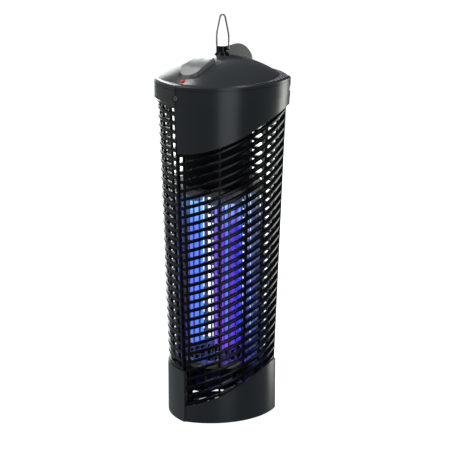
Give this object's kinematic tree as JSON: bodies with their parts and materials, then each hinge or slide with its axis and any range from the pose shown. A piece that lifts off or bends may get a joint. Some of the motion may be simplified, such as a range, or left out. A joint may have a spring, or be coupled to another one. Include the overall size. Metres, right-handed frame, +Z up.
{
  "type": "electric bug zapper",
  "caption": "Hanging electric insect killer: a tapered three-sided lantern with slatted guards, ultraviolet tubes in an electrode cage, a domed head and a wire bail.",
  "frame": {"origin": "on the long axis at the level of the base, where the lantern stands", "axes": "+Z up along the long axis, -Y towards the front corner with the button, the decorated face lies between -Y and +X"},
  "size_m": [0.183, 0.1937, 0.561],
  "materials": {
    "charcoal_shell": "satin metallic charcoal moulding",
    "black_gloss": "glossy black moulding",
    "black_matte": "matt black moulding",
    "button_silver": "silver-grey moulding with a soft gloss",
    "red_lens": "clear red lens",
    "bail_wire": "drawn steel wire",
    "spring_steel": "spring wire",
    "screw_steel": "zinc-plated steel",
    "chassis_steel": "grey coated steel plate",
    "electrode_steel": "plated electrode rods",
    "insulator_ceramic": "pale ceramic",
    "lamp_glass": "phosphor-coated glass, lit violet-blue",
    "lamp_base_white": "white moulding",
    "socket_white": "white moulding",
    "board_green": "coated circuit board",
    "brass_parts": "turned brass",
    "transformer_iron": "varnished laminations",
    "capacitor_amber": "dipped capacitor",
    "ballast_case": "pale coated steel can",
    "wire_red": "insulated wire",
    "gasket_rubber": "black rubber"
  },
  "bodies": {
    "housing": {"top_cover": "charcoal_shell", "cover_gasket": "gasket_rubber", "hanger_bracket": "black_gloss", "bracket_screws": "screw_steel", "button_spring": "spring_steel", "push_switch": "black_matte", "led_lens": "red_lens", "status_led": "red_lens", "circuit_board": "board_green", "board_standoffs": "brass_parts", "hv_transformer": "transformer_iron", "hv_capacitors": "capacitor_amber", "lamp_ballast": "ballast_case", "wiring_harness": "wire_red", "top_cap": "charcoal_shell", "corner_screws": "screw_steel", "cord_gland": "black_matte", "gland_nut": "black_matte", "chassis_plate": "chassis_steel", "core_housing": "black_matte", "lamp_socket_front": "socket_white", "lamp_socket_rear": "socket_white", "lamp_socket_left": "socket_white", "lamp_base_front": "lamp_base_white", "lamp_base_rear": "lamp_base_white", "lamp_base_left": "lamp_base_white", "lamp_front": "lamp_glass", "lamp_rear": "lamp_glass", "lamp_left": "lamp_glass", "guard_front": "black_gloss", "guard_rear": "black_gloss", "guard_left": "black_gloss", "outer_grid": "electrode_steel", "inner_grid": "electrode_steel", "upper_insulator": "insulator_ceramic", "lower_insulator": "insulator_ceramic", "lower_support": "black_matte", "tie_rods": "screw_steel", "tie_nuts": "brass_parts", "bottom_cap": "charcoal_shell", "base_grate": "black_matte", "base_screws": "screw_steel"},
    "bail": {"bail": "bail_wire"},
    "button": {"power_button": "button_silver"}
  },
  "joints": [
    {"name": "bail_hinge", "type": "hinge", "parent": "housing", "child": "bail", "pos_m": [0, 0.012, 0.513], "axis": [1, 0, 0], "range_deg": [-75, 85]},
    {"name": "button_press", "type": "slide", "parent": "housing", "child": "button", "axis": [0, 0, -1], "range_m": [0, 0.002], "stiffness_N_per_m": 400, "springref_m": -0.0015, "deforming": ["button_spring"]}
  ]
}
